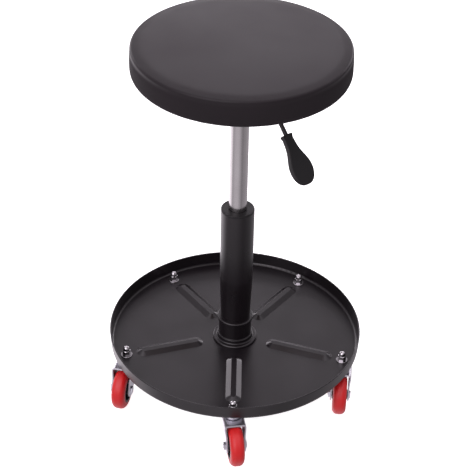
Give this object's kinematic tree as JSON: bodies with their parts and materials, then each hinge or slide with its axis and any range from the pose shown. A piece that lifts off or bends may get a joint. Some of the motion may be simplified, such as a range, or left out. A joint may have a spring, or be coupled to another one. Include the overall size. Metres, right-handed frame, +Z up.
{
  "type": "swivel stool",
  "caption": "Round padded stool on a height-adjustable gas lift, with a round dished tray base on swivel casters and a paddle lever.",
  "frame": {"origin": "on the floor under the column's axis", "axes": "+Z up along the column; -Y towards the front caster; the lever lies between -Y and +X"},
  "size_m": [0.3958, 0.4345, 0.6],
  "materials": {
    "black_powder_coat": "semi-gloss",
    "black_satin_paint": "satin",
    "satin_chrome": "satin",
    "bright_chrome": "polished",
    "zinc_steel": "bright zinc",
    "bare_steel": "ground",
    "black_plastic": "fine texture",
    "black_nylon": "moulded",
    "red_polyurethane": "smooth",
    "black_vinyl": "smooth",
    "foam": "open cell",
    "plywood": "raw",
    "black_rubber": "matt",
    "brass": "turned"
  },
  "bodies": {
    "base": {"tray": "black_powder_coat", "hub_socket": "black_powder_coat", "column_tube": "black_satin_paint", "column_end_plate": "bare_steel", "guide_bush": "black_plastic", "caster_stems": "zinc_steel", "caster_races": "zinc_steel", "caster_balls": "bare_steel", "caster_washers": "bright_chrome", "caster_nuts": "bright_chrome"},
    "lift_rod": {"piston_rod": "bare_steel", "piston": "brass", "rod_clip": "bare_steel", "thrust_bearing": "bare_steel", "rubber_buffer": "black_rubber"},
    "seat": {"gas_cylinder": "satin_chrome", "cylinder_guide": "black_plastic", "taper_socket": "black_powder_coat", "mount_plate": "black_powder_coat", "lever_bracket": "black_powder_coat", "lever_pin": "zinc_steel", "plate_bolts": "zinc_steel", "t_nuts": "zinc_steel", "seat_board": "plywood", "seat_foam": "foam", "seat_cover": "black_vinyl", "cover_staples": "bare_steel"},
    "valve": {"valve_pin": "bare_steel"},
    "lever": {"lever_rod": "black_satin_paint", "lever_paddle": "black_plastic"},
    "caster_1": {"caster_fork_1": "zinc_steel", "axle_bolt_1": "zinc_steel", "axle_nut_1": "zinc_steel"},
    "wheel_1": {"wheel_tread_1": "red_polyurethane", "wheel_hub_1": "black_nylon", "wheel_bush_1": "bare_steel"},
    "caster_2": {"caster_fork_2": "zinc_steel", "axle_bolt_2": "zinc_steel", "axle_nut_2": "zinc_steel"},
    "wheel_2": {"wheel_tread_2": "red_polyurethane", "wheel_hub_2": "black_nylon", "wheel_bush_2": "bare_steel"},
    "caster_3": {"caster_fork_3": "zinc_steel", "axle_bolt_3": "zinc_steel", "axle_nut_3": "zinc_steel"},
    "wheel_3": {"wheel_tread_3": "red_polyurethane", "wheel_hub_3": "black_nylon", "wheel_bush_3": "bare_steel"},
    "caster_4": {"caster_fork_4": "zinc_steel", "axle_bolt_4": "zinc_steel", "axle_nut_4": "zinc_steel"},
    "wheel_4": {"wheel_tread_4": "red_polyurethane", "wheel_hub_4": "black_nylon", "wheel_bush_4": "bare_steel"},
    "caster_5": {"caster_fork_5": "zinc_steel", "axle_bolt_5": "zinc_steel", "axle_nut_5": "zinc_steel"},
    "wheel_5": {"wheel_tread_5": "red_polyurethane", "wheel_hub_5": "black_nylon", "wheel_bush_5": "bare_steel"}
  },
  "joints": [
    {"name": "seat_swivel", "type": "hinge", "parent": "base", "child": "lift_rod", "pos_m": [0, 0, 0.0709], "axis": [0, 0, 1], "continuous": true},
    {"name": "seat_lift", "type": "slide", "parent": "lift_rod", "child": "seat", "axis": [0, 0, 1], "range_m": [-0.125, 0]},
    {"name": "lever_pull", "type": "hinge", "parent": "seat", "child": "lever", "pos_m": [0.02121, -0.02121, 0.544], "axis": [-0.7071, -0.7071, 0], "range_deg": [0, 6], "stiffness_Nm_per_rad": 6, "springref_deg": -2.86},
    {"name": "valve_press", "type": "slide", "parent": "seat", "child": "valve", "axis": [0, 0, 1], "range_m": [-0.0036, 0]},
    {"name": "caster_1_swivel", "type": "hinge", "parent": "base", "child": "caster_1", "pos_m": [0, -0.1772, 0.0685], "axis": [0, 0, 1], "continuous": true},
    {"name": "wheel_1_roll", "type": "hinge", "parent": "caster_1", "child": "wheel_1", "pos_m": [0.00486, -0.20478, 0.03175], "axis": [0.9848, 0.1736, 0], "continuous": true},
    {"name": "caster_2_swivel", "type": "hinge", "parent": "base", "child": "caster_2", "pos_m": [0.16853, -0.05476, 0.0685], "axis": [0, 0, 1], "continuous": true},
    {"name": "wheel_2_roll", "type": "hinge", "parent": "caster_2", "child": "wheel_2", "pos_m": [0.16657, -0.08269, 0.03175], "axis": [0.9976, -0.0698, 0], "continuous": true},
    {"name": "caster_3_swivel", "type": "hinge", "parent": "base", "child": "caster_3", "pos_m": [0.10416, 0.14336, 0.0685], "axis": [0, 0, 1], "continuous": true},
    {"name": "wheel_3_roll", "type": "hinge", "parent": "caster_3", "child": "wheel_3", "pos_m": [0.10513, 0.11538, 0.03175], "axis": [0.9994, 0.0349, 0], "continuous": true},
    {"name": "caster_4_swivel", "type": "hinge", "parent": "base", "child": "caster_4", "pos_m": [-0.10416, 0.14336, 0.0685], "axis": [0, 0, 1], "continuous": true},
    {"name": "wheel_4_roll", "type": "hinge", "parent": "caster_4", "child": "wheel_4", "pos_m": [-0.10757, 0.11557, 0.03175], "axis": [0.9925, -0.1219, 0], "continuous": true},
    {"name": "caster_5_swivel", "type": "hinge", "parent": "base", "child": "caster_5", "pos_m": [-0.16853, -0.05476, 0.0685], "axis": [0, 0, 1], "continuous": true},
    {"name": "wheel_5_roll", "type": "hinge", "parent": "caster_5", "child": "wheel_5", "pos_m": [-0.17435, -0.08215, 0.03175], "axis": [0.9781, -0.2079, 0], "continuous": true}
  ],
  "couplings": [
    {"joint": "valve_press", "follows": "lever_pull", "m_per_rad": -0.031}
  ]
}
